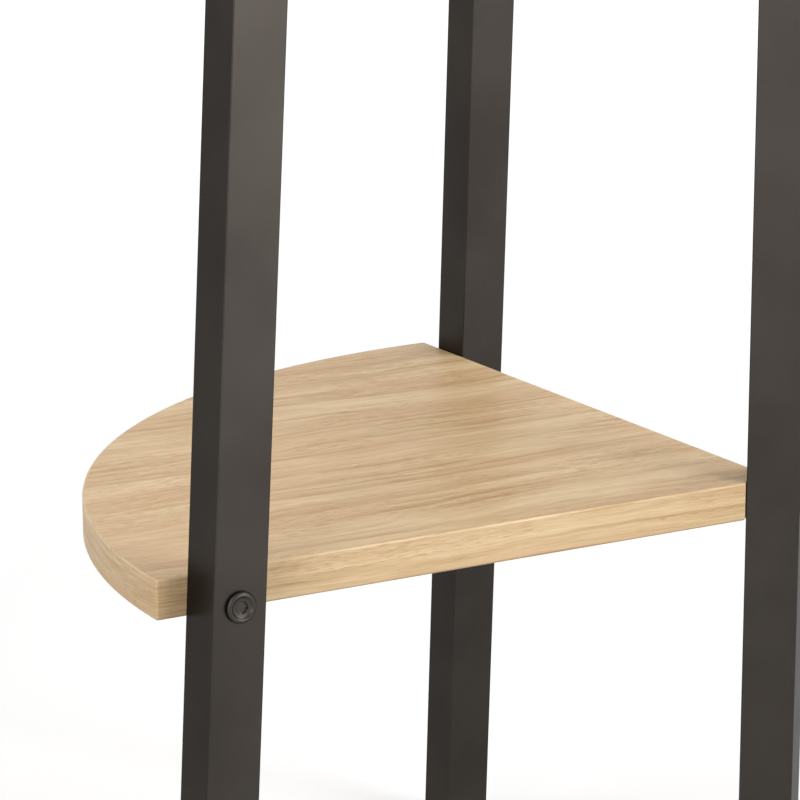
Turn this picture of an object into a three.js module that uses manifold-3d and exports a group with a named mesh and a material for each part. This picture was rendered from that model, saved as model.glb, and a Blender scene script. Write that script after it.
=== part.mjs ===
// Corner shelf unit: quarter-round boards bolted between three square steel tubes.
// Lengths are in millimetres and +Z is up. The room's corner is at the back left (-X, +Y), and
// the round fronts of the boards face +X and -Y. The origin is on the floor, at the middle of
// the unit's square footprint.
import * as THREE from "three";
import { mergeVertices } from "three/addons/utils/BufferGeometryUtils.js";
import Module from "manifold-3d";

// Boards: a board's radius is the length of its two straight sides.
const boardCount = 4;
const boardThickness = 18;
const boardEdgeRound = 1;
const lowestBoardRadius = 322;
const lowestBoardTop = 275;
const boardSpacing = 400;
const tipOverhang = 14.5; // board tip beyond the outer face of a leaning tube

// Tubes: one stands upright in the corner, and two lean in towards it as they rise.
const tubeWidth = 25;
const tubeWall = 1.2;
const tubeOuterRound = 0.6;
const tubeInnerRound = 0.4;
const tubeAboveTopBoard = 45;
const leanAngle = THREE.MathUtils.degToRad(2.86);

// Bolts: low heads with a rounded rim, a dished face and a hex socket.
const shankDiameter = 8;
const shankChamfer = 1;
const headDiameter = 14;
const headHeight = 2.2;
const headRimHeight = 0.6;
const dishDiameter = 9.5;
const dishDepth = 0.7;
const socketAcrossFlats = 5;
const socketDepth = 1.6;
const threadEngagement = 14;
const boltHoleClearance = 0.4;

// Threaded inserts in the edges of the boards.
const insertLength = 18;
const insertWall = 1.7;
const insertRibHeight = 0.6;
const insertRibCount = 3;
const insertRecess = 0.5;

// Plastic plugs in the ends of the tubes: a flange on a hollow ribbed stub.
const footFlangeHeight = 4;
const capFlangeHeight = 2.5;
const flangeEdgeRound = 0.8;
const flangeCornerRound = 1.4;
const stubLength = 20;
const stubWall = 1.6;
const plugRibCount = 3;
const plugRibHeight = 1;
const plugRibThickness = 1.2;

// Fits
const seatGap = 0.3; // between pieces that bear on each other
const cutOverrun = 2;

// Facets
const roundSides = 16;
const frontArcSteps = 36;
const cornerSteps = 1;
const domeSteps = 2;
const socketSides = 6;

const quarterTurn = Math.PI / 2;
const leanSlope = Math.tan(leanAngle);
const leaningWidth = tubeWidth / Math.cos(leanAngle); // measured level, along the board's side
const tubeHollow = tubeWidth - 2 * tubeWall;
const footSeat = footFlangeHeight + seatGap;
const topBoardTop = lowestBoardTop + (boardCount - 1) * boardSpacing;
const tubeTop = topBoardTop + tubeAboveTopBoard;
const headSeat = seatGap + tubeWidth + seatGap; // from a board's side to the underside of a bolt head
const holeRadius = shankDiameter / 2 + boltHoleClearance;
const insertBore = shankDiameter / 2 + seatGap;
const insertRadius = insertBore + insertWall;
const cornerFace = tubeWidth / 2 + seatGap; // from the corner tube's axis to the boards' cut corner

const oak = new THREE.MeshStandardMaterial({ color: 0xd2b58c, roughness: 0.55, metalness: 0 });
const paint = new THREE.MeshStandardMaterial({ color: 0x4d4742, roughness: 0.5, metalness: 0.1 });
const boltPaint = new THREE.MeshStandardMaterial({ color: 0x4a4540, roughness: 0.4, metalness: 0.3 });
const zinc = new THREE.MeshStandardMaterial({ color: 0xb9b7b0, roughness: 0.35, metalness: 1 });
const plastic = new THREE.MeshStandardMaterial({ color: 0x2f2d2b, roughness: 0.6, metalness: 0 });

const wasm = await Module();
wasm.setup();

function toSolid(geometry) {
  const bare = geometry.clone();
  bare.deleteAttribute("normal");
  bare.deleteAttribute("uv");
  const merged = mergeVertices(bare);
  const mesh = new wasm.Mesh({
    numProp: 3,
    vertProperties: merged.attributes.position.array,
    triVerts: new Uint32Array(merged.index.array),
  });
  return new wasm.Manifold(mesh);
}

function toGeometry(solid) {
  const mesh = solid.getMesh();
  const geometry = new THREE.BufferGeometry();
  geometry.setAttribute("position", new THREE.BufferAttribute(mesh.vertProperties, 3));
  geometry.setIndex(new THREE.BufferAttribute(mesh.triVerts, 1));
  geometry.computeVertexNormals();
  return geometry;
}

// A square outline with rounded corners, centred on the axis.
function roundedSquare(width, round) {
  const reach = width / 2 - round;
  const shape = new THREE.Shape();
  shape.absarc(reach, reach, round, 0, quarterTurn);
  shape.absarc(-reach, reach, round, quarterTurn, 2 * quarterTurn);
  shape.absarc(-reach, -reach, round, 2 * quarterTurn, 3 * quarterTurn);
  shape.absarc(reach, -reach, round, 3 * quarterTurn, 4 * quarterTurn);
  return shape;
}

// A straight square tube that rises from height `bottom`.
function squareTube(width, wall, outerRound, innerRound, bottom, height) {
  const section = roundedSquare(width, outerRound);
  section.holes.push(roundedSquare(width - 2 * wall, innerRound));
  const options = { depth: height, bevelEnabled: false, curveSegments: cornerSteps };
  return new THREE.ExtrudeGeometry(section, options).translate(0, 0, bottom);
}

// A rod of `sides` sides along +Z, from height `bottom` to height `top`.
function rod(radius, sides, bottom, top) {
  const geometry = new THREE.CylinderGeometry(radius, radius, top - bottom, sides);
  return geometry.rotateX(quarterTurn).translate(0, 0, (bottom + top) / 2);
}

// What a profile of radius and height sweeps round the Z axis.
function turned(points) {
  return new THREE.LatheGeometry(points, roundSides).rotateX(quarterTurn);
}

// The three joints of a board. Seen from above, `side` points along the board's side to its
// tip, and `outward` points from the board through the tube.
const legs = [
  { name: "corner", side: -0.5 * quarterTurn, outward: 1.5 * quarterTurn, leans: false },
  { name: "left", side: -quarterTurn, outward: 2 * quarterTurn, leans: true },
  { name: "right", side: 0, outward: quarterTurn, leans: true },
];

// Distance along the board's side from the corner to a leaning tube's axis, at a height.
function tubeDistance(height) {
  const atLowestBoard = lowestBoardRadius - tipOverhang - leaningWidth / 2;
  return atLowestBoard - leanSlope * (height - lowestBoardTop);
}

// A point given by its distance along a leg's side and its distance outward from the board.
function legPoint(leg, along, outward, height) {
  const point = new THREE.Vector3(Math.cos(leg.side), Math.sin(leg.side), 0).multiplyScalar(along);
  point.x += Math.cos(leg.outward) * outward;
  point.y += Math.sin(leg.outward) * outward;
  point.z = height;
  return point;
}

// The seat of a bolted joint: the middle of the board's edge face, with +Z outward.
function jointMatrix(leg, boardMiddle) {
  const along = leg.leans ? tubeDistance(boardMiddle) : 0;
  const outward = leg.leans ? 0 : -cornerFace;
  const turn = new THREE.Matrix4().makeRotationZ(leg.outward - quarterTurn);
  const tip = new THREE.Matrix4().makeRotationX(-quarterTurn);
  return turn.multiply(tip).setPosition(legPoint(leg, along, outward, boardMiddle));
}

const boards = Array.from({ length: boardCount }, (_, i) => ({
  number: i + 1,
  top: lowestBoardTop + i * boardSpacing,
  middle: lowestBoardTop + i * boardSpacing - boardThickness / 2,
  radius: lowestBoardRadius - leanSlope * i * boardSpacing,
}));

// A quarter disc with its corner cut flat for the corner tube, and three insert holes.
function boardGeometry(board) {
  const cut = Math.SQRT2 * cornerFace;
  const outline = new THREE.Shape();
  outline.moveTo(0, -cut);
  outline.absarc(0, 0, board.radius, -quarterTurn, 0);
  outline.lineTo(cut, 0);
  const slab = new THREE.ExtrudeGeometry(outline, {
    depth: boardThickness - 2 * boardEdgeRound,
    bevelThickness: boardEdgeRound,
    bevelSize: boardEdgeRound,
    bevelOffset: -boardEdgeRound,
    bevelSegments: cornerSteps,
    curveSegments: frontArcSteps,
  });
  let solid = toSolid(slab.translate(0, 0, board.top - boardThickness + boardEdgeRound));
  const depth = insertRecess + insertLength + seatGap;
  for (const leg of legs) {
    const hole = rod(insertRadius + seatGap, roundSides, -depth, cutOverrun);
    solid = solid.subtract(toSolid(hole.applyMatrix4(jointMatrix(leg, board.middle))));
  }
  return toGeometry(solid);
}

// Upright geometry on a tube's axis, widened and sheared where the tube leans.
function leaned(geometry, leg) {
  if (!leg.leans) return geometry;
  const widening = new THREE.Vector3(leaningWidth / tubeWidth, 1, 1);
  return geometry.applyMatrix4(new THREE.Matrix4().makeShear(0, 0, 0, 0, -leanSlope, 0).scale(widening));
}

// Places a leg's pieces: local X runs along the board's side and Z is up from the floor.
function legMatrix(leg) {
  const matrix = new THREE.Matrix4().makeRotationZ(leg.side);
  if (!leg.leans) return matrix;
  return matrix.setPosition(legPoint(leg, tubeDistance(0), seatGap + tubeWidth / 2, 0));
}

// A hollow tube with a hole through both walls at each board.
function tubeGeometry(leg) {
  const upright = squareTube(
    tubeWidth, tubeWall, tubeOuterRound, tubeInnerRound, footSeat, tubeTop - footSeat,
  );
  let solid = toSolid(leaned(upright, leg).applyMatrix4(legMatrix(leg)));
  for (const board of boards) {
    const hole = rod(holeRadius, roundSides, -cutOverrun, seatGap + tubeWidth + cutOverrun);
    solid = solid.subtract(toSolid(hole.applyMatrix4(jointMatrix(leg, board.middle))));
  }
  return toGeometry(solid);
}

// An end plug, upright on its flange: the stub and its ribs rise into the tube.
function plugGeometry(flangeHeight) {
  const flange = new THREE.ExtrudeGeometry(roundedSquare(tubeWidth, flangeCornerRound), {
    depth: flangeHeight - 2 * flangeEdgeRound,
    bevelThickness: flangeEdgeRound,
    bevelSize: flangeEdgeRound,
    bevelOffset: -flangeEdgeRound,
    bevelSegments: cornerSteps,
    curveSegments: cornerSteps,
  });
  let solid = toSolid(flange.translate(0, 0, flangeEdgeRound));
  const ribWidth = tubeHollow - 2 * seatGap;
  const stubWidth = ribWidth - 2 * plugRibHeight;
  const stubBottom = flangeHeight / 2;
  const stubTop = flangeHeight + stubLength;
  const stub = squareTube(
    stubWidth, stubWall, tubeInnerRound, tubeInnerRound, stubBottom, stubTop - stubBottom,
  );
  solid = solid.add(toSolid(stub));
  const ribPitch = stubLength / plugRibCount;
  const ribWall = plugRibHeight + stubWall / 2; // reaches half way into the stub's wall
  for (let i = 0; i < plugRibCount; i++) {
    const bottom = flangeHeight + (i + 1) * ribPitch - plugRibThickness;
    const rib = squareTube(
      ribWidth, ribWall, tubeInnerRound, tubeInnerRound, bottom, plugRibThickness,
    );
    solid = solid.add(toSolid(rib));
  }
  return toGeometry(solid);
}

function footGeometry(leg) {
  return leaned(plugGeometry(footFlangeHeight), leg).applyMatrix4(legMatrix(leg));
}

function capGeometry(leg) {
  const upsideDown = plugGeometry(capFlangeHeight).rotateX(2 * quarterTurn);
  const seated = upsideDown.translate(0, 0, tubeTop + seatGap + capFlangeHeight);
  return leaned(seated, leg).applyMatrix4(legMatrix(leg));
}

// A bolt along +Z, with the underside of its head at height 0.
function boltGeometry() {
  const shank = shankDiameter / 2;
  const head = headDiameter / 2;
  const dish = dishDiameter / 2;
  const socketReach = socketAcrossFlats / Math.sqrt(3); // from the axis to the socket's corners
  const end = -(headSeat + insertRecess + threadEngagement);
  const profile = new THREE.Path();
  profile.moveTo(0, end);
  profile.lineTo(shank - shankChamfer, end);
  profile.lineTo(shank, end + shankChamfer);
  profile.lineTo(shank, 0);
  profile.lineTo(head, 0);
  profile.absellipse(dish, headRimHeight, head - dish, headHeight - headRimHeight, 0, quarterTurn);
  profile.lineTo(socketReach, headHeight - dishDepth);
  profile.lineTo(0, headHeight - dishDepth);
  const blank = toSolid(turned(profile.getPoints(domeSteps)));
  const socketFloor = headHeight - dishDepth - socketDepth;
  const socket = rod(socketReach, socketSides, socketFloor, headHeight + cutOverrun);
  return toGeometry(blank.subtract(toSolid(socket)));
}

// A threaded insert along +Z, with its mouth at height 0 and sawtooth ribs outside.
function insertGeometry() {
  const root = insertRadius - insertRibHeight;
  const ribPitch = insertLength / insertRibCount;
  const profile = [new THREE.Vector2(insertBore, 0), new THREE.Vector2(insertBore, -insertLength)];
  for (let i = insertRibCount; i > 0; i--) {
    profile.push(new THREE.Vector2(root, -i * ribPitch));
    profile.push(new THREE.Vector2(insertRadius, -(i - 1) * ribPitch - insertRibHeight));
  }
  profile.push(new THREE.Vector2(root, 0));
  profile.push(profile[0].clone());
  return turned(profile);
}

const unit = new THREE.Group();
const footprintMiddle = (lowestBoardRadius - headSeat - headHeight) / 2;
unit.position.set(-footprintMiddle, footprintMiddle, 0);

function addPiece(name, geometry, material) {
  const mesh = new THREE.Mesh(geometry, material.clone());
  mesh.name = name;
  unit.add(mesh);
  return mesh;
}

for (const leg of legs) {
  addPiece(`leg_${leg.name}`, tubeGeometry(leg), paint);
  addPiece(`foot_${leg.name}`, footGeometry(leg), plastic);
  addPiece(`cap_${leg.name}`, capGeometry(leg), plastic);
}

for (const board of boards) {
  addPiece(`shelf_${board.number}`, boardGeometry(board), oak);
  for (const leg of legs) {
    const joint = jointMatrix(leg, board.middle);
    const head = new THREE.Matrix4().makeTranslation(0, 0, headSeat);
    const mouth = new THREE.Matrix4().makeTranslation(0, 0, -insertRecess);
    const bolt = addPiece(`bolt_${board.number}_${leg.name}`, boltGeometry(), boltPaint);
    bolt.applyMatrix4(joint.clone().multiply(head));
    const insert = addPiece(`insert_${board.number}_${leg.name}`, insertGeometry(), zinc);
    insert.applyMatrix4(joint.clone().multiply(mouth));
  }
}

export default unit;
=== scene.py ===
import math

import bmesh
import bpy
from mathutils import Matrix, Vector


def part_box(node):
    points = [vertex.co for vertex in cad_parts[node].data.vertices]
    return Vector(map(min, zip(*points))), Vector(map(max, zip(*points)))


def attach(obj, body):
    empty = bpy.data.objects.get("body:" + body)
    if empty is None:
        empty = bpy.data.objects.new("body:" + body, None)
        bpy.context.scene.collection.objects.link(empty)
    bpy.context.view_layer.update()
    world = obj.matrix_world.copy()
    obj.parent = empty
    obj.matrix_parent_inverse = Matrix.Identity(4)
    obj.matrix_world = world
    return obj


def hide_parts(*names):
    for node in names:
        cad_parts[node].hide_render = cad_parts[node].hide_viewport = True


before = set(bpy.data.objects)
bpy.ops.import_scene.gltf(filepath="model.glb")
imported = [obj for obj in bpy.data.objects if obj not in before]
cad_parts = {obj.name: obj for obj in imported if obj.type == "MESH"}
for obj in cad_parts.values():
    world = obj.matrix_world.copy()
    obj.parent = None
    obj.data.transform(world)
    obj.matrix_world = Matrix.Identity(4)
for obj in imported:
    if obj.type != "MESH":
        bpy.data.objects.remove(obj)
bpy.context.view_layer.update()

# Corner shelf unit: quarter-round oak boards bolted between three square steel tubes.
# Lengths are in metres. The room's corner is at the back left (-X, +Y).

BOARDS = (1, 2, 3, 4)  # from the lowest up
BOARD_EDGE_ROUND = 0.001
BOARD_TIP_ROUND = 0.0012
BOARD_ARC_STEPS = 120

TUBE_WIDTH = 0.025
TUBE_WALL = 0.0012
TUBE_OUTER_ROUND = 0.0006
TUBE_INNER_ROUND = 0.0004
TUBE_END_CHAMFER = 0.0002
TUBE_HOLE_RADIUS = 0.0044
LEAN = math.radians(2.86)
LEAN_SLOPE = math.tan(LEAN)
LEANING_WIDTH = TUBE_WIDTH / math.cos(LEAN)  # measured level, along the board's side

# Seen from above, `side` points along a board's side to its tip, and `outward` points from
# the board through the tube.
LEGS = {
    "corner": {
        "name": "corner", "side": -0.25 * math.pi, "outward": 0.75 * math.pi, "leans": False,
    },
    "left": {"name": "left", "side": -0.5 * math.pi, "outward": math.pi, "leans": True},
    "right": {"name": "right", "side": 0.0, "outward": 0.5 * math.pi, "leans": True},
}

SEAT_GAP = 0.0003  # between pieces that bear on each other
CORNER_FACE = TUBE_WIDTH / 2 + SEAT_GAP  # from the corner tube's axis to the boards' cut corner
HEAD_SEAT = SEAT_GAP + TUBE_WIDTH + SEAT_GAP  # from a board's side to the underside of a bolt head

BOLT_LENGTH = 0.0401  # under the head
THREAD_LENGTH = 0.013
THREAD_PITCH = 0.00125
THREAD_DEPTH = 0.0006
THREAD_RINGS_PER_PITCH = 6
SHANK_RADIUS = 0.004
SHANK_CHAMFER = 0.001
SOCKET_ACROSS_FLATS = 0.005
SOCKET_CORNER_REACH = 0.0028  # the socket's worn corners, from the axis
HEAD_PROFILE = (  # radius, height above the seat
    (0.0062, 0.00000), (0.0066, 0.00010), (0.0069, 0.00042), (0.0070, 0.00080),
    (0.0069, 0.00126), (0.0067, 0.00162), (0.0064, 0.00192), (0.0060, 0.00212),
    (0.0056, 0.00220), (0.0052, 0.00215), (0.0049, 0.00200), (0.0046, 0.00172),
    (0.0044, 0.00150), (0.0042, 0.00140), (0.0037, 0.00132), (0.0032, 0.00128),
    (0.0029, 0.00120), (0.0028, 0.00095),
)
SOCKET_PROFILE = (  # share of the socket's width, height above the seat
    (1.0, 0.0008), (1.0, 0.0003), (0.9, 0.0002),
)
TURN_PER_BOARD = 2.4  # radians by which a tightened bolt is turned on from the one below it
TURN_PER_SIDE = 1.3  # the same between two legs, for each radian between their sides

INSERT_RADIUS = 0.006
INSERT_DEPTH = 0.0188

FOOT_FLANGE = 0.004
CAP_FLANGE = 0.0025
CAP_CROWN = 0.0003
FLANGE_EDGE_ROUND = 0.0008
FLANGE_CORNER_ROUND = 0.0014
STUB_LENGTH = 0.020
STUB_WALL = 0.0016
PLUG_RIBS = 3
RIB_HEIGHT = 0.001
RIB_THICKNESS = 0.0012
GATE_DIMPLE_WIDTH = 0.0036
GATE_DIMPLE_TAPER = 0.8  # the share of that width at its bottom
GATE_DIMPLE_DEPTH = 0.0003

LATHE_STEPS = 48
ROUND_STEPS = 4
ROUND_ANGLES = [i / ROUND_STEPS * math.pi / 2 for i in range(ROUND_STEPS + 1)]
SMOOTH_ANGLE = math.radians(35)
CUTTER_STEPS = 32
CUTTER_OVERRUN = 0.002  # how far a cutter reaches out of what it cuts

BLACK = (0, 0, 0, 1)
WHITE = (1, 1, 1, 1)

# Other colours are in sRGB, from 0 to 255.
# The upper edges' tint is wear and a painted highlight together, and the lower edges' tint is
# painted shade.
OAK = {
    "pale": (231, 205, 164), "deep": (184, 145, 97), "pink": (210, 172, 134),
    "pore": (164, 118, 71), "wear_and_highlight": (250, 230, 196), "underside_painted_shade": (150, 118, 82),
}
TINT_SHARES = {"pink": 0.4, "pore": 0.38, "wear_and_highlight": 0.28, "underside_painted_shade": 0.5}  # where each is strongest

# Each kind of streak has a length, a width and a shift, the detail of its noise, and the
# noise's levels at which it begins and is full.
STREAKS = {
    "band": (0.24, 0.026, 31, 3, 0.38, 0.62),
    "line_part": (0.13, 0.012, 23, 3, 0.36, 0.62),
    "fibre": (0.016, 0.0007, 7, 2, 0.40, 0.60),
    "broad": (0.090, 0.0110, 5, 3, 0.38, 0.62),
    "narrow": (0.050, 0.0022, 17, 2, 0.38, 0.62),
    "pore_patch": (0.10, 0.030, 13, 2, 0.42, 0.60),
    "pore": (0.009, 0.0007, 11, 1, 0.54, 0.62),
    "blush": (0.15, 0.034, 9, 2, 0.45, 0.66),
    # breaks up the upper edges' wear and painted highlight along the grain
    "wear_and_highlight_breaks": (0.040, 0.010, 19, 3, 0.40, 0.62),
}
STREAK_ROUGHNESS = 0.6
DARK_SHARES = {"band": 0.19, "broad": 0.17, "narrow": 0.15, "fibre": 0.18, "line": 0.42}
PALE_BAND_SHARE = 0.4  # what stays of fibres and growth lines where the band is pale
BARE_PATCH_SHARE = 0.3  # what stays of pores outside their patches

GROWTH_LINES = 125  # to a metre across the grain
LINE_PALE_PART = 0.2  # of each line's width
LINE_DRIFT = 3.0  # lines by which their even spacing is upset
DRIFT_WAVE = (0.5, 0.035, 21)  # its length, width and shift
SWAYS = (  # length and width of the waves, how far they push the grain, and a shift
    (0.17, 0.07, 0.0160, 0), (0.045, 0.018, 0.0045, 2), (0.012, 0.005, 0.0010, 4),
)
GRAIN_OFFSET = Vector((0.83, 1.358))  # from one board's cut of the grain to the next one's

EDGE_FINENESS = 2.2  # how much finer the grain of the edges' band is, across
EDGE_CUT = 0.132  # where in the grain that band is cut, across
SIDEWAYS_PAINTED_SHADE = 0.08  # painted shade: how much darker that band is drawn than the lamps alone make it
PAINTED_SHADE_FACING = (0.3, 0.7)  # the normal's upright part where that painted shade is full, and where it ends

OAK_ROUGHNESS = (0.42, 0.50)  # between the fibres, and on them
WORN_GLOSS = 0.15  # by which wear lowers the roughness
OAK_SPECULAR = 0.22
OAK_BUMP = {"dark": -1.0, "pore": -0.8, "depth": 0.00004, "strength": 0.35}

# `peel` and `grit` are the widths of a coating's coarse and fine bumps, and `edge` tints its
# reflections at a grazing angle.
COATINGS = {
    "painted_tube": {
        "dark": (52, 48, 45), "light": (60, 56, 52), "roughness": 0.32, "metallic": 0.8,
        "specular": 0.2, "edge": 0.4, "peel": 0.0025, "grit": 0.0004,
    },
    "painted_bolt": {
        "dark": (55, 51, 48), "light": (64, 60, 56), "roughness": 0.30, "metallic": 0.8,
        "specular": 0.2, "edge": 0.4, "peel": 0.0012, "grit": 0.0003,
    },
    "end_plug": {
        "dark": (42, 40, 38), "light": (48, 46, 44), "roughness": 0.55, "metallic": 0.0,
        "specular": 0.3, "edge": 1.0, "peel": 0.0008, "grit": 0.0003,
    },
}
COATING_CLOUD_WIDTH = 0.06  # of the faint blotches
COATING_TONE = {"cloud": 0.6, "grit": 0.4}  # the shares of blotches and grit in its tone
COATING_BUMP = {"peel": 1, "grit": 0.25, "depth": 0.00003, "strength": 0.35}
COATING_ROUGHNESS_SWING = 0.04  # to either side

ZINC = {
    "dark": (186, 184, 178), "light": (212, 210, 204), "blotch": 0.004,
    "roughness": (0.3, 0.45), "bump_depth": 0.00002, "bump_strength": 0.4,
}

# The levels of a metal's or coating's noise that give its darkest and lightest tone, and
# its smoothest and roughest places.
TONE_LEVELS = (0.35, 0.65)
ROUGHNESS_LEVELS = (0.3, 0.7)

FLOOR_HALF_WIDTH = 40
FLOOR_ROUGHNESS = 0.9
FLOOR_TONE = {"seen": 0.9, "lit": 0.5}  # its white to the eye, and in the light it throws back
FLOOR_GLOW = {"near": 0.24, "far": 0.74}  # the share of its white that takes no shadows
FLOOR_REACH = {"near": 0.7, "far": 3.0}  # the distances between which the glow grows
WORLD_FILL = 0.34  # the surround's light on the unit, as a share of the white it shows

LAMPS = {  # `aim` is the height of the point above the frame's origin that a lamp faces
    "right": {"place": (-0.76, 1.74, 0.80), "aim": 0.5, "size": (0.9, 1.3), "power": 19.5},
    "left": {"place": (1.54, 1.11, 0.80), "aim": 0.5, "size": (0.9, 1.3), "power": 13},
    "high_right": {"place": (-1.37, 1.16, 2.00), "aim": 0.3, "size": (1.4, 1.4), "power": 11.5},
    "high_back": {"place": (-1.80, 0.01, 2.00), "aim": 0.3, "size": (1.4, 1.4), "power": 11},
    "high_left": {"place": (1.80, -0.01, 2.00), "aim": 0.3, "size": (1.4, 1.4), "power": 15.5},
    "top": {"place": (0.10, 0.30, 2.80), "aim": 0.3, "size": (2.0, 2.0), "power": 8.5},
}

CAMERA_FROM_CORNER = Vector((0.9460, 1.2705, 0.4416))  # from the lowest board's corner
CAMERA_YAW = math.radians(-30.311)
CAMERA_PITCH = math.radians(14.094)
CAMERA_LENS = 158.0  # in millimetres, like the sensor's width
CAMERA_SENSOR = 36
CAMERA_REACH = 100  # how far it sees, in metres


# Shapes


def heading(angle):
    """The level direction at an angle from +X."""
    return Vector((math.cos(angle), math.sin(angle), 0))


def link(name, data):
    """A new object in the scene."""
    made = bpy.data.objects.new(name, data)
    bpy.context.scene.collection.objects.link(made)
    return made


def loft(name, rings, closed=False, spans=None):
    """A mesh through equal rings of points, filled at both ends or closed on itself.

    With `spans`, the distance round the ring at each point, the band between the rings is
    unrolled into the UV map. Filled ends are laid flat in it.
    """
    form = bmesh.new()
    uv = form.loops.layers.uv.new("grain")
    loops = [[form.verts.new(point) for point in ring] for ring in rings]
    count = len(loops[0])
    for lower, upper in zip(loops, loops[1:] + (loops[:1] if closed else [])):
        for i in range(count):
            j = (i + 1) % count
            face = form.faces.new((lower[i], lower[j], upper[j], upper[i]))
            if spans:
                for corner, step in zip(face.loops, (i, i + 1, i + 1, i)):
                    corner[uv].uv = (spans[step], corner.vert.co.z * EDGE_FINENESS + EDGE_CUT)
    if not closed:
        for end in (form.faces.new(reversed(loops[0])), form.faces.new(loops[-1])):
            for corner in end.loops:
                corner[uv].uv = corner.vert.co.xy
    bmesh.ops.recalc_face_normals(form, faces=form.faces)
    mesh = bpy.data.meshes.new(name)
    form.to_mesh(mesh)
    form.free()
    return link(name, mesh)


def circle(radius, height, steps=LATHE_STEPS):
    turns = (math.tau * i / steps for i in range(steps))
    return [Vector((radius * math.cos(a), radius * math.sin(a), height)) for a in turns]


def hexagon(share, height):
    """A ring of a hex socket with worn corners, `share` as wide as the socket."""
    ring = []
    for i in range(LATHE_STEPS):
        angle = math.tau * i / LATHE_STEPS
        from_flat = (angle + math.pi / 6) % (math.pi / 3) - math.pi / 6
        reach = share * min(SOCKET_ACROSS_FLATS / 2 / math.cos(from_flat), SOCKET_CORNER_REACH)
        ring.append(Vector((reach * math.cos(angle), reach * math.sin(angle), height)))
    return ring


def rounded_square(width, corner, height):
    reach = width / 2 - corner
    ring = []
    for quarter, (x, y) in enumerate(((1, 1), (-1, 1), (-1, -1), (1, -1))):
        for i in range(ROUND_STEPS + 1):
            angle = (quarter + i / ROUND_STEPS) * math.pi / 2
            ring.append(Vector((x * reach, y * reach, height)) + corner * heading(angle))
    return ring


def placed(rings, matrix):
    return [[matrix @ point for point in ring] for ring in rings]


def rods(name, radius, bottom, top, matrices):
    """Equal rods along each matrix's Z axis, in one mesh."""
    together = bmesh.new()
    for matrix in matrices:
        ends = [circle(radius, height, CUTTER_STEPS) for height in (bottom, top)]
        rod = loft(name, placed(ends, matrix))
        together.from_mesh(rod.data)
        bpy.data.meshes.remove(rod.data)
    mesh = bpy.data.meshes.new(name)
    together.to_mesh(mesh)
    together.free()
    return link(name, mesh)


def cut(piece, cutter):
    """Takes the cutter's shape out of the piece and removes the cutter."""
    modifier = piece.modifiers.new("cut", "BOOLEAN")
    modifier.operation = "DIFFERENCE"
    modifier.solver = "EXACT"
    modifier.object = cutter
    whole = piece.data
    graph = bpy.context.evaluated_depsgraph_get()
    piece.data = bpy.data.meshes.new_from_object(piece.evaluated_get(graph))
    piece.data.name = piece.name
    piece.modifiers.clear()
    bpy.data.meshes.remove(whole)
    bpy.data.meshes.remove(cutter.data)


def finish_piece(piece, node, material):
    """Shades a piece, and puts it in place of its CAD node."""
    piece.data.shade_smooth()
    piece.data.set_sharp_from_angle(angle=SMOOTH_ANGLE)
    weighted = piece.modifiers.new("weighted normals", "WEIGHTED_NORMAL")
    weighted.keep_sharp = True
    piece.data.materials.clear()
    piece.data.materials.append(material)
    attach(piece, "root")
    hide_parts(node)


# Places of the joints and the tubes, from the frame


def board_apex(board):
    """The corner where the board's two straight sides would meet, at mid-thickness."""
    low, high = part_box(f"shelf_{board}")
    return Vector((low[0], high[1], (low[2] + high[2]) / 2))


def joint_matrix(board, leg):
    """The middle of the board's edge where a leg is bolted to it, with +Z outward."""
    origin = board_apex(board)
    side, outward = heading(leg["side"]), heading(leg["outward"])
    if leg["leans"]:
        low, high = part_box(f"bolt_{board}_{leg['name']}")
        middle = (Vector(low) + Vector(high)) / 2
        origin += side * side.dot(middle - origin)
    else:
        origin -= outward * CORNER_FACE
    laid_down = Matrix.Rotation(-math.pi / 2, 4, "X")
    turn = Matrix.Rotation(leg["outward"] - math.pi / 2, 4, "Z") @ laid_down
    return Matrix.Translation(origin) @ turn


def leg_matrix(leg):
    """The tube's axis: +Z follows it up from the floor, and X runs along the board's side."""
    corner = board_apex(BOARDS[0])
    corner.z = 0
    turn = Matrix.Rotation(leg["side"], 4, "Z")
    if not leg["leans"]:
        return Matrix.Translation(corner) @ turn
    side, outward = heading(leg["side"]), heading(leg["outward"])
    low, high = (Vector(point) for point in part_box(f"leg_{leg['name']}"))
    reach = max(side.dot(low - corner), side.dot(high - corner))
    foot = reach - LEANING_WIDTH / 2 + LEAN_SLOPE * low.z
    origin = corner + side * foot + outward * (SEAT_GAP + TUBE_WIDTH / 2)
    lean = Matrix.Identity(4)
    lean[0][0] = LEANING_WIDTH / TUBE_WIDTH
    lean[0][2] = -LEAN_SLOPE
    return Matrix.Translation(origin) @ turn @ lean


# Boards


def board_outline(radius, inset):
    """A quarter disc with its corner cut flat, every side moved in by `inset`, from above."""
    tip = BOARD_TIP_ROUND
    reach = math.sqrt((radius - tip) ** 2 - tip**2)
    turn = math.asin(tip / (radius - tip))
    start, end = -math.pi / 2 + turn, -turn
    cut_at = math.sqrt(2) * (CORNER_FACE + inset) - inset

    def rounded_tip(centre, first, last):
        angles = (first + (last - first) * i / ROUND_STEPS for i in range(ROUND_STEPS + 1))
        return [Vector((*centre, 0)) + (tip - inset) * heading(angle) for angle in angles]

    points = [Vector((inset, -cut_at, 0))]
    points += rounded_tip((tip, -reach), -math.pi, start)
    for i in range(1, BOARD_ARC_STEPS):
        points.append((radius - inset) * heading(start + (end - start) * i / BOARD_ARC_STEPS))
    points += rounded_tip((reach, -tip), end, math.pi / 2)
    points.append(Vector((cut_at, -inset, 0)))
    return points


def perimeter(points):
    """The distance round a closed outline at each of its points, and back at the first."""
    spans = [0]
    for here, following in zip(points, points[1:] + points[:1]):
        spans.append(spans[-1] + (following - here).length)
    return spans


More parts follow.
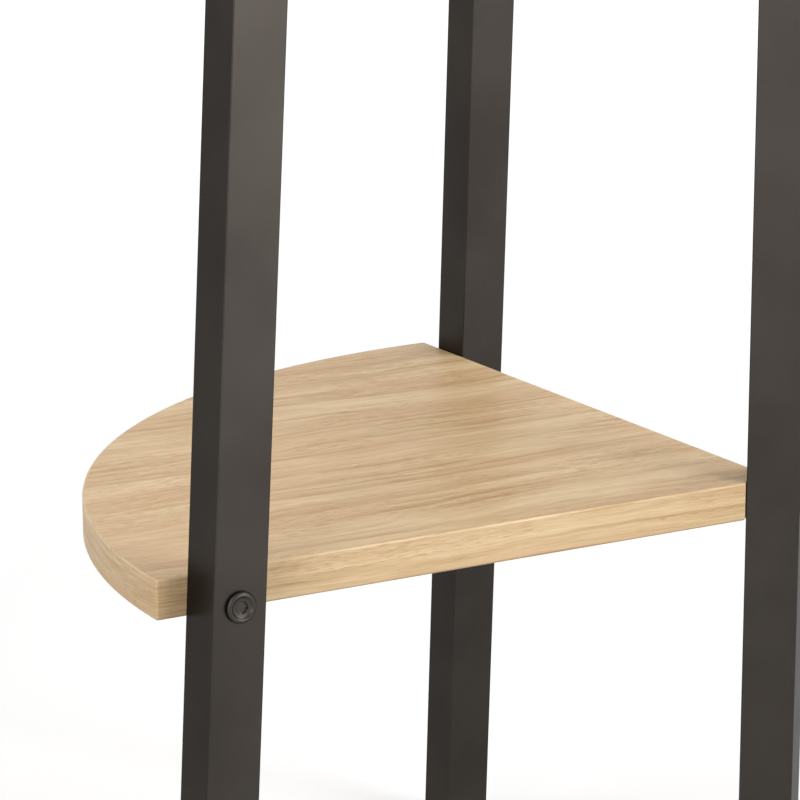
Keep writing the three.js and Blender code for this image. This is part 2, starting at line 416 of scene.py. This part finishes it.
def mark_rounding(piece, bottom, top):
    """Marks the middle of the roundings of a board's edges.

    It is 1 along the upper edge, for wear and a painted highlight, -1 along the lower one, for
    painted shade, and 0 between them.
    """
    mark = piece.data.attributes.new("rounding", "FLOAT", "POINT")
    for vertex, point in zip(piece.data.vertices, mark.data):
        z = vertex.co.z
        depth, side = (top - z, 1) if top - z < z - bottom else (z - bottom, -1)
        point.value = side * math.sin(math.pi * min(max(depth / BOARD_EDGE_ROUND, 0), 1))


def make_board(board, material):
    low, high = (Vector(point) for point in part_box(f"shelf_{board}"))
    radius = high.x - low.x
    corner = Vector((low.x, high.y, 0))
    rounding = [
        (BOARD_EDGE_ROUND * (1 - math.sin(angle)), BOARD_EDGE_ROUND * (1 - math.cos(angle)))
        for angle in ROUND_ANGLES
    ]
    levels = [(inset, low.z + rise) for inset, rise in rounding]
    levels += [(inset, high.z - rise) for inset, rise in reversed(rounding)]
    rings = [
        [corner + point + Vector((0, 0, z)) for point in board_outline(radius, inset)]
        for inset, z in levels
    ]
    piece = loft(f"board_{board}", rings, spans=perimeter(board_outline(radius, 0)))
    holes = [joint_matrix(board, leg) for leg in LEGS.values()]
    cut(piece, rods(
        "insert_holes", INSERT_RADIUS + SEAT_GAP, -INSERT_DEPTH, CUTTER_OVERRUN, holes,
    ))
    for corner_uv in piece.data.uv_layers["grain"].data:
        corner_uv.uv += GRAIN_OFFSET * board
    mark_rounding(piece, low.z, high.z)
    finish_piece(piece, f"shelf_{board}", material)


# Tubes and their end plugs


def make_tube(leg, material):
    node = f"leg_{leg['name']}"
    low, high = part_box(node)
    bottom, top = low[2], high[2]
    hollow = TUBE_WIDTH - 2 * TUBE_WALL
    chamfer = TUBE_END_CHAMFER
    outer = [(TUBE_WIDTH - 2 * chamfer, bottom), (TUBE_WIDTH, bottom + chamfer)]
    outer += [(TUBE_WIDTH, top - chamfer), (TUBE_WIDTH - 2 * chamfer, top)]
    inner = [(hollow + 2 * chamfer, top), (hollow, top - chamfer)]
    inner += [(hollow, bottom + chamfer), (hollow + 2 * chamfer, bottom)]
    rings = [rounded_square(width, TUBE_OUTER_ROUND, z) for width, z in outer]
    rings += [rounded_square(width, TUBE_INNER_ROUND, z) for width, z in inner]
    piece = loft(f"tube_{leg['name']}", placed(rings, leg_matrix(leg)), closed=True)
    holes = [joint_matrix(board, leg) for board in BOARDS]
    cut(piece, rods(
        "bolt_holes", TUBE_HOLE_RADIUS, -CUTTER_OVERRUN, HEAD_SEAT + CUTTER_OVERRUN, holes,
    ))
    finish_piece(piece, node, material)


def plug_rings(flange, crown):
    """An upright plug from the middle of its outer face, round its flange and its ribbed stub."""
    dimple_bottom = GATE_DIMPLE_WIDTH * GATE_DIMPLE_TAPER
    levels = [  # width, corner radius, height
        (dimple_bottom, dimple_bottom / 2, GATE_DIMPLE_DEPTH),
        (GATE_DIMPLE_WIDTH, GATE_DIMPLE_WIDTH / 2, 0),
    ]
    for angle in ROUND_ANGLES:
        inset = FLANGE_EDGE_ROUND * (1 - math.sin(angle))
        rise = crown + (FLANGE_EDGE_ROUND - crown) * (1 - math.cos(angle))
        levels.append((TUBE_WIDTH - 2 * inset, FLANGE_CORNER_ROUND - inset, rise))
    for angle in ROUND_ANGLES:
        inset = FLANGE_EDGE_ROUND / 2 * (1 - math.cos(angle))
        rise = flange - FLANGE_EDGE_ROUND / 2 * (1 - math.sin(angle))
        levels.append((TUBE_WIDTH - 2 * inset, FLANGE_CORNER_ROUND - inset, rise))
    rib_width = TUBE_WIDTH - 2 * TUBE_WALL - 2 * SEAT_GAP
    stub_width = rib_width - 2 * RIB_HEIGHT
    pitch = STUB_LENGTH / PLUG_RIBS
    stub = [(stub_width, flange)]
    for i in range(PLUG_RIBS):
        top = flange + (i + 1) * pitch
        stub += [
            (stub_width, top - RIB_THICKNESS - RIB_HEIGHT / 2),
            (rib_width, top - RIB_THICKNESS),
            (rib_width - RIB_HEIGHT / 2, top),
        ]
        if i + 1 < PLUG_RIBS:
            stub.append((stub_width, top + RIB_HEIGHT / 4))
    bore = stub_width - 2 * STUB_WALL
    stub += [(bore, flange + STUB_LENGTH), (bore, flange)]
    levels += [(width, TUBE_INNER_ROUND, z) for width, z in stub]
    return [rounded_square(*level) for level in levels]


def make_plug(kind, leg, flange, crown, end, material):
    """A plug whose outer face is at height 0, or upside down at height `end`."""
    rings = plug_rings(flange, crown)
    if end:
        rings = placed(rings, Matrix.Translation((0, 0, end)) @ Matrix.Rotation(math.pi, 4, "X"))
    node = f"{kind}_{leg['name']}"
    piece = loft(f"{kind}_plug_{leg['name']}", placed(rings, leg_matrix(leg)))
    finish_piece(piece, node, material)


# Bolts


def threaded_ring(height, depth):
    """A ring of the shank whose thread is cut to `depth`."""
    ring = circle(1, height)
    for i, point in enumerate(ring):
        phase = (height / THREAD_PITCH - i / LATHE_STEPS) % 1
        radius = SHANK_RADIUS - depth * (1 - abs(2 * phase - 1))
        point.x *= radius
        point.y *= radius
    return ring


def bolt_rings():
    """A bolt along +Z, with the underside of its head at height 0."""
    end = -BOLT_LENGTH
    rings = [circle(SHANK_RADIUS - SHANK_CHAMFER, end)]
    count = round(THREAD_LENGTH / THREAD_PITCH * THREAD_RINGS_PER_PITCH)
    for i in range(count + 1):
        height = end + SHANK_CHAMFER + THREAD_LENGTH * i / count
        fade = min(1, i / THREAD_RINGS_PER_PITCH, (count - i) / THREAD_RINGS_PER_PITCH)
        rings.append(threaded_ring(height, THREAD_DEPTH * fade))
    rings.append(circle(SHANK_RADIUS, 0))
    rings += [circle(radius, height) for radius, height in HEAD_PROFILE]
    rings += [hexagon(share, height) for share, height in SOCKET_PROFILE]
    return rings


def make_bolt(board, leg, material):
    name = f"{board}_{leg['name']}"
    turn = TURN_PER_BOARD * board + TURN_PER_SIDE * leg["side"]
    head = Matrix.Translation((0, 0, HEAD_SEAT)) @ Matrix.Rotation(turn, 4, "Z")
    piece = loft(f"socket_bolt_{name}", placed(bolt_rings(), joint_matrix(board, leg) @ head))
    finish_piece(piece, f"bolt_{name}", material)


# Nodes


def add_node(tree, kind, inputs=(), **settings):
    """A new node with its settings, and its inputs linked to sockets or set to values."""
    node = tree.nodes.new("ShaderNode" + kind)
    for name, value in settings.items():
        setattr(node, name, value)
    for key, value in dict(inputs).items():
        if isinstance(value, bpy.types.NodeSocket):
            tree.links.new(value, node.inputs[key])
        else:
            node.inputs[key].default_value = value
    return node


def linear(colour):
    """A colour written in sRGB from 0 to 255, as the shader's linear values."""
    shares = (value / 255 for value in colour)
    return (*(s / 12.92 if s <= 0.04045 else ((s + 0.055) / 1.055) ** 2.4 for s in shares), 1)


def new_material(name):
    material = bpy.data.materials.new(name)
    material.use_nodes = True
    return material, material.node_tree, material.node_tree.nodes["Principled BSDF"]


def noise(tree, vector, scale, detail, roughness=0.5, dimensions="3D"):
    inputs = {"Vector": vector, "Scale": scale, "Detail": detail, "Roughness": roughness}
    return add_node(tree, "TexNoise", inputs, noise_dimensions=dimensions).outputs["Fac"]


def stretched(tree, vector, along, across, shift):
    """Coordinates in which a grain feature `along` by `across` metres is one unit square."""
    inputs = {
        "Vector": vector, "Location": (shift, shift / 2, 0), "Scale": (1 / along, 1 / across, 1),
    }
    return add_node(tree, "Mapping", inputs).outputs["Vector"]


def ramp(tree, value, low, high, to_low=0.0, to_high=1.0):
    """A value from `low` to `high`, mapped to another range with soft ends."""
    inputs = {
        "Value": value, "From Min": low, "From Max": high, "To Min": to_low, "To Max": to_high,
    }
    return add_node(tree, "MapRange", inputs, interpolation_type="SMOOTHSTEP").outputs["Result"]


def calculate(tree, operation, first, second=0.0):
    return add_node(tree, "Math", {0: first, 1: second}, operation=operation).outputs["Value"]


def multiply(tree, first, second):
    return calculate(tree, "MULTIPLY", first, second)


def weigh(tree, first, first_weight, second, second_weight):
    """The weighted sum of two values."""
    first = multiply(tree, first, first_weight)
    second = multiply(tree, second, second_weight)
    return calculate(tree, "ADD", first, second)


def blend(tree, amount, first, second):
    """A mix of two colours. Its sockets go by number, since their names aren't unique."""
    inputs = {0: amount, 6: first, 7: second}
    return add_node(tree, "Mix", inputs, data_type="RGBA").outputs[2]


def set_bump(tree, shader, height, distance, strength):
    bump = add_node(tree, "Bump", {"Height": height, "Distance": distance, "Strength": strength})
    tree.links.new(bump.outputs["Normal"], shader.inputs["Normal"])


# Materials


def swayed_grain(tree):
    """The grain's coordinates, which wander across the grain in waves, and the one across it."""
    grain = add_node(tree, "UVMap", uv_map="grain").outputs["UV"]
    axes = add_node(tree, "SeparateXYZ", {"Vector": grain}).outputs
    across = axes["Y"]
    for along, wide, push, shift in SWAYS:
        wave = noise(tree, stretched(tree, grain, along, wide, shift), 1, 1, dimensions="2D")
        across = weigh(tree, across, 1.0, wave, push)
    return add_node(tree, "CombineXYZ", {"X": axes["X"], "Y": across}).outputs["Vector"], across


def growth_lines(tree, grain, across):
    """Lines that darken slowly and end sharply, like a year's growth."""
    drift = noise(tree, stretched(tree, grain, *DRIFT_WAVE), 1, 1, dimensions="2D")
    line = calculate(tree, "FRACT", weigh(tree, across, GROWTH_LINES, drift, LINE_DRIFT))
    return ramp(tree, line, LINE_PALE_PART, 1.0)


def sideways_painted_shade(tree):
    """Painted shade: how much darker a face that looks sideways is drawn, as on the edges' band.
    """
    normal = add_node(tree, "TexCoord").outputs["Normal"]
    upright = add_node(tree, "SeparateXYZ", {"Vector": normal}).outputs["Z"]
    return ramp(tree, calculate(tree, "ABSOLUTE", upright), *PAINTED_SHADE_FACING, SIDEWAYS_PAINTED_SHADE, 0)


def oak_material():
    """Light oak laminate: bands, growth lines, fibres and pores that wander along the grain."""
    material, tree, shader = new_material("light_oak")
    grain, across = swayed_grain(tree)

    def streaks(name):
        along, wide, shift, detail, low, high = STREAKS[name]
        place = stretched(tree, grain, along, wide, shift)
        value = noise(tree, place, 1, detail, STREAK_ROUGHNESS, dimensions="2D")
        return ramp(tree, value, low, high)

    band = streaks("band")
    busy = ramp(tree, band, 0, 1, PALE_BAND_SHARE, 1.0)
    line = multiply(tree, growth_lines(tree, grain, across), streaks("line_part"))
    fibre = streaks("fibre")
    layers = {
        "band": band,
        "broad": streaks("broad"),
        "narrow": streaks("narrow"),
        "fibre": multiply(tree, fibre, busy),
        "line": multiply(tree, line, busy),
    }
    dark = 0.0
    for name, share in DARK_SHARES.items():
        dark = calculate(tree, "ADD", dark, multiply(tree, layers[name], share))
    patch = streaks("pore_patch")
    pore = multiply(tree, streaks("pore"), ramp(tree, patch, 0, 1, BARE_PATCH_SHARE, 1.0))
    rounding = add_node(tree, "Attribute", attribute_name="rounding").outputs["Fac"]
    wear_and_highlight = multiply(tree, ramp(tree, rounding, 0, 1), streaks("wear_and_highlight_breaks"))

    def tinted(colour, amount, tint):
        share = multiply(tree, amount, TINT_SHARES[tint])
        return blend(tree, share, colour, linear(OAK[tint]))

    colour = blend(tree, dark, linear(OAK["pale"]), linear(OAK["deep"]))
    colour = tinted(colour, streaks("blush"), "pink")
    colour = tinted(colour, pore, "pore")
    # painted shade on faces that look sideways, the edges' band
    colour = blend(tree, sideways_painted_shade(tree), colour, BLACK)
    # wear and a painted highlight along the upper edges
    colour = tinted(colour, wear_and_highlight, "wear_and_highlight")
    # painted shade along the lower edges, where the underside turns from the light
    colour = tinted(colour, ramp(tree, rounding, 0, -1), "underside_painted_shade")
    tree.links.new(colour, shader.inputs["Base Color"])

    roughness = ramp(tree, fibre, 0, 1, *OAK_ROUGHNESS)
    roughness = calculate(tree, "SUBTRACT", roughness, multiply(tree, wear_and_highlight, WORN_GLOSS))
    tree.links.new(roughness, shader.inputs["Roughness"])
    height = weigh(tree, dark, OAK_BUMP["dark"], pore, OAK_BUMP["pore"])
    set_bump(tree, shader, height, OAK_BUMP["depth"], OAK_BUMP["strength"])
    shader.inputs["Specular IOR Level"].default_value = OAK_SPECULAR
    return material


def coated_material(name, coating):
    """Powder coat or moulded plastic: a soft orange peel and fine grit, hardly any blotches."""
    material, tree, shader = new_material(name)
    place = add_node(tree, "TexCoord").outputs["Object"]
    cloud = noise(tree, place, 1 / COATING_CLOUD_WIDTH, detail=3)
    peel = noise(tree, place, 1 / coating["peel"], detail=2)
    grit = noise(tree, place, 1 / coating["grit"], detail=2)
    tone = weigh(tree, cloud, COATING_TONE["cloud"], grit, COATING_TONE["grit"])
    light = ramp(tree, tone, *TONE_LEVELS)
    colour = blend(tree, light, linear(coating["dark"]), linear(coating["light"]))
    tree.links.new(colour, shader.inputs["Base Color"])
    smoothest = coating["roughness"] - COATING_ROUGHNESS_SWING
    roughest = coating["roughness"] + COATING_ROUGHNESS_SWING
    roughness = ramp(tree, tone, *ROUGHNESS_LEVELS, smoothest, roughest)
    tree.links.new(roughness, shader.inputs["Roughness"])
    height = weigh(tree, peel, COATING_BUMP["peel"], grit, COATING_BUMP["grit"])
    set_bump(tree, shader, height, COATING_BUMP["depth"], COATING_BUMP["strength"])
    shader.inputs["Metallic"].default_value = coating["metallic"]
    shader.inputs["Specular IOR Level"].default_value = coating["specular"]
    shader.inputs["Specular Tint"].default_value = (coating["edge"],) * 3 + (1,)
    return material


def zinc_material():
    """Die-cast zinc alloy: dull, a little blotched."""
    material, tree, shader = new_material("zinc_alloy")
    place = add_node(tree, "TexCoord").outputs["Object"]
    blotches = noise(tree, place, 1 / ZINC["blotch"], detail=4)
    light = ramp(tree, blotches, *TONE_LEVELS)
    colour = blend(tree, light, linear(ZINC["dark"]), linear(ZINC["light"]))
    tree.links.new(colour, shader.inputs["Base Color"])
    roughness = ramp(tree, blotches, *ROUGHNESS_LEVELS, *ZINC["roughness"])
    tree.links.new(roughness, shader.inputs["Roughness"])
    set_bump(tree, shader, blotches, ZINC["bump_depth"], ZINC["bump_strength"])
    shader.inputs["Metallic"].default_value = 1
    return material


# Stage


def seen_directly(tree):
    """1 for camera, glossy and transmission rays, and otherwise 0."""
    rays = add_node(tree, "LightPath").outputs
    seen = calculate(tree, "MAXIMUM", rays["Is Camera Ray"], rays["Is Glossy Ray"])
    return calculate(tree, "MAXIMUM", seen, rays["Is Transmission Ray"])


def make_floor():
    """A pale floor that shows white to the camera and in reflections, apart from the shadows.

    It glows more further out, where less of the lamps' light falls on it.
    """
    reach = FLOOR_HALF_WIDTH
    corners = [(-reach, -reach, 0), (reach, -reach, 0), (reach, reach, 0), (-reach, reach, 0)]
    mesh = bpy.data.meshes.new("floor")
    mesh.from_pydata(corners, [], [(0, 1, 2, 3)])
    floor = link("floor", mesh)
    material, tree, shader = new_material("pale_floor")
    seen = seen_directly(tree)
    tone = ramp(tree, seen, 0, 1, FLOOR_TONE["lit"], FLOOR_TONE["seen"])
    tree.links.new(tone, shader.inputs["Base Color"])
    shader.inputs["Roughness"].default_value = FLOOR_ROUGHNESS
    shader.inputs["Specular IOR Level"].default_value = 0.0
    shader.inputs["Emission Color"].default_value = WHITE
    place = add_node(tree, "TexCoord").outputs["Object"]
    distance = add_node(tree, "VectorMath", {0: place}, operation="LENGTH").outputs["Value"]
    glow = add_node(tree, "MapRange", {
        "Value": distance, "From Min": FLOOR_REACH["near"], "From Max": FLOOR_REACH["far"],
        "To Min": FLOOR_GLOW["near"], "To Max": FLOOR_GLOW["far"],
    }).outputs["Result"]
    tree.links.new(multiply(tree, seen, glow), shader.inputs["Emission Strength"])
    mesh.materials.append(material)


def make_world():
    """A surround that looks white, and fills the shadows weakly."""
    world = bpy.data.worlds.new("studio")
    world.use_nodes = True
    bpy.context.scene.world = world
    tree = world.node_tree
    strength = ramp(tree, seen_directly(tree), 0, 1, WORLD_FILL, 1.0)
    background = tree.nodes["Background"]
    background.inputs["Color"].default_value = WHITE
    tree.links.new(strength, background.inputs["Strength"])


def turned_to(direction):
    """The rotation with which a lamp or camera faces in a direction."""
    return direction.to_track_quat("-Z", "Y").to_euler()


def make_lamps():
    for name, lamp in LAMPS.items():
        light = bpy.data.lights.new(name, "AREA")
        light.shape = "RECTANGLE"
        light.size, light.size_y = lamp["size"]
        light.energy = lamp["power"]
        holder = link(name, light)
        holder.location = lamp["place"]
        holder.visible_camera = False
        holder.rotation_euler = turned_to(Vector((0, 0, lamp["aim"])) - Vector(lamp["place"]))


def make_camera():
    data = bpy.data.cameras.new("camera")
    data.sensor_width = CAMERA_SENSOR
    data.lens = CAMERA_LENS
    data.clip_end = CAMERA_REACH
    camera = link("camera", data)
    level = math.cos(CAMERA_PITCH)
    forward = Vector((
        math.sin(CAMERA_YAW) * level, -math.cos(CAMERA_YAW) * level, -math.sin(CAMERA_PITCH),
    ))
    camera.location = board_apex(BOARDS[0]) + CAMERA_FROM_CORNER
    camera.rotation_euler = turned_to(forward)
    bpy.context.scene.camera = camera


oak = oak_material()
paint = coated_material("tube_powder_coat", COATINGS["painted_tube"])
bolt_paint = coated_material("bolt_coating", COATINGS["painted_bolt"])
plastic = coated_material("moulded_plastic", COATINGS["end_plug"])
zinc = zinc_material()

for board in BOARDS:
    make_board(board, oak)
    for leg in LEGS.values():
        make_bolt(board, leg, bolt_paint)
        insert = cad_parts[f"insert_{board}_{leg['name']}"]
        insert.data.materials.clear()
        insert.data.materials.append(zinc)

cap_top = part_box("cap_corner")[1][2]
for leg in LEGS.values():
    make_tube(leg, paint)
    make_plug("foot", leg, FOOT_FLANGE, 0, 0, plastic)
    make_plug("cap", leg, CAP_FLANGE, CAP_CROWN, cap_top, plastic)

make_floor()
make_world()
make_lamps()
make_camera()
bpy.context.scene.view_settings.view_transform = "Standard"
